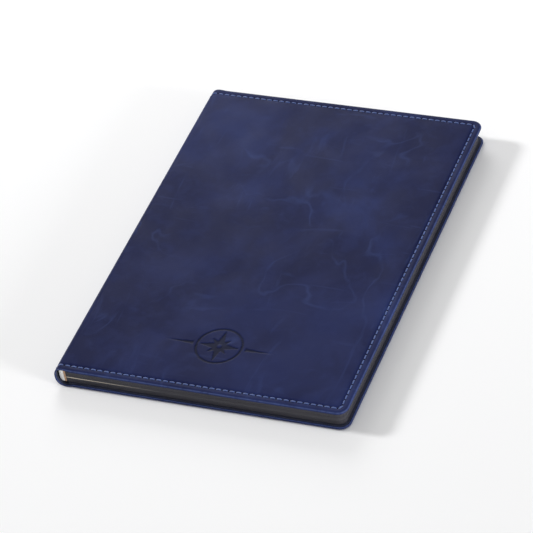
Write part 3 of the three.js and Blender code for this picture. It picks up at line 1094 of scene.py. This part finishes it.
# ---- end bands --------------------------------------------------------------------------------------
def end_band(end):
    """A white woven band with a ribbed face, glued over the back of the leaves and bending with them."""
    low = corners("back_%sband" % end)[0]
    high = corners("front_%sband" % end)[1]
    ribs = 26
    rows_per_rib = 4
    steps = 22
    vertices = []
    faces = []
    rows = []
    count = ribs * rows_per_rib
    for j in range(count + 1):
        y = low.y - BAND_OVERHANG + (high.y - low.y + 2 * BAND_OVERHANG) * j / count
        swell = 0.05 * MM * math.cos(2 * math.pi * j / rows_per_rib)
        end_round = min(1.0, min(j, count - j) / 3)
        rounded = 0.6 + 0.4 * math.sqrt(1 - (1 - end_round) ** 2)
        line = []
        for i in range(steps + 1):
            z = low.z + (high.z - low.z) * i / steps
            across = 2 * i / steps - 1
            bulge = math.sqrt(max(0.0, 1 - across ** 4))
            thickness = BAND_EDGE + (BAND_THICK - BAND_EDGE) * bulge + swell
            line.append(len(vertices))
            vertices.append((BAND_FACE - thickness * rounded, y, z))
        inner = []
        for i in range(steps + 1):
            z = low.z + (high.z - low.z) * i / steps
            inner.append(len(vertices))
            vertices.append((BAND_FACE, y, z))
        rows.append(line + inner[::-1])
    for first, second in zip(rows, rows[1:]):
        for i in range(len(first)):
            j = (i + 1) % len(first)
            faces.append((first[i], first[j], second[j], second[i]))
    for row in (rows[0], rows[-1]):
        for i in range(steps):
            faces.append((row[i], row[i + 1], row[-2 - i], row[-1 - i]))
    piece = make_piece(end + "band_woven", vertices, faces, [BAND])
    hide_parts("back_%sband" % end, "front_%sband" % end)
    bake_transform(piece)


def kraft_strip(half, body):
    """The tan paper glued over the gauze, under the end bands, slightly waved along its length."""
    low, high = corners(half + "_kraft_lining")
    steps = 90
    vertices = []
    faces = []
    for i in range(steps + 1):
        y = low.y + (high.y - low.y) * i / steps
        wave = 0.05 * MM * math.sin(y / (6.5 * MM)) + 0.03 * MM * math.sin(y / (2.3 * MM))
        face = BAND_FACE + 0.06 * MM + wave
        vertices.extend(((high.x, y, low.z), (high.x, y, high.z), (face, y, high.z), (face, y, low.z)))
    for i in range(steps):
        for k in range(4):
            a, b = 4 * i + k, 4 * i + (k + 1) % 4
            faces.append((a, b, b + 4, a + 4))
    faces.append((0, 1, 2, 3))
    last = 4 * steps
    faces.append((last + 3, last + 2, last + 1, last))
    piece = make_piece(half + "_kraft_strip", vertices, faces, [KRAFT])
    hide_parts(half + "_kraft_lining")
    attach(piece, body)


# ---- everything together -----------------------------------------------------------------------------
def finish_cad_nodes():
    """Materials for the pieces whose CAD shape is already right."""
    finishes = {
        "back_lining": CAD_LINING, "front_lining": CAD_LINING,
        "back_pastedown": ENDPAPER, "front_pastedown": ENDPAPER,
        "back_flyleaf": FLYLEAF, "front_flyleaf": FLYLEAF,
        "back_foam": FOAM, "front_foam": FOAM, "back_board": BOARD, "front_board": BOARD,
        "back_mull": MULL, "front_mull": MULL,
    }
    for node, material in finishes.items():
        mesh = frame["nodes"][node].data
        mesh.materials.clear()
        mesh.materials.append(material)


back = back_wrap()
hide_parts("back_cover_leather", "back_joint_leather")
spine = spine_wrap()
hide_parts("spine_leather", "spine_lining")
front = front_wrap()
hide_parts("front_cover_leather", "front_joint_leather")
sew_cover()
make_leaves()
make_divider()
end_band("head")
end_band("tail")
kraft_strip("back", "root")
kraft_strip("front", "front_leaves")
finish_cad_nodes()


# ---- floor and light -----------------------------------------------------------------------------------
def make_floor():
    mesh = bpy.data.meshes.new("floor")
    size = 6.0
    outline = [(-size, -size, 0), (size, -size, 0), (size, size, 0), (-size, size, 0)]
    mesh.from_pydata(outline, [], [(0, 1, 2, 3)])
    s = Shader("pale_floor")
    s.surface((0.93, 0.93, 0.935, 1.0), 0.9, None, Specular_IOR_Level=0.05)
    mesh.materials.append(s.material)
    floor = bpy.data.objects.new("floor", mesh)
    bpy.context.collection.objects.link(floor)


def area_light(name, place, target, size, power):
    data = bpy.data.lights.new(name, "AREA")
    data.energy = power
    data.size = size
    light = bpy.data.objects.new(name, data)
    light.location = place
    light.rotation_euler = (Vector(target) - Vector(place)).to_track_quat("-Z", "Y").to_euler()
    bpy.context.collection.objects.link(light)


def sun_light(name, toward, strength, spread):
    """A distant light that shines along the given direction; spread is its width in degrees."""
    data = bpy.data.lights.new(name, "SUN")
    data.energy = strength
    data.angle = math.radians(spread)
    light = bpy.data.objects.new(name, data)
    light.rotation_euler = Vector(toward).to_track_quat("-Z", "Y").to_euler()
    bpy.context.collection.objects.link(light)


def make_light():
    world = bpy.data.worlds.new("studio")
    bpy.context.scene.world = world
    world.use_nodes = True
    background = world.node_tree.nodes["Background"]
    background.inputs["Color"].default_value = (1.0, 1.0, 1.0, 1.0)
    background.inputs["Strength"].default_value = 0.25
    sun_light("key_left", (0.85, 0.02, -0.45), 2.0, 9)
    sun_light("fill_fore_edge", (-0.96, 0.22, -0.10), 3.4, 18)
    area_light("lamp_head_left", (-0.42, 0.72, 0.45), (0, 0, 0), 0.5, 4.0)
    area_light("top", (0.2, -0.2, 2.4), (0, 0, 0), 1.6, 14)
    bpy.context.scene.view_settings.view_transform = "Standard"


make_floor()
make_light()
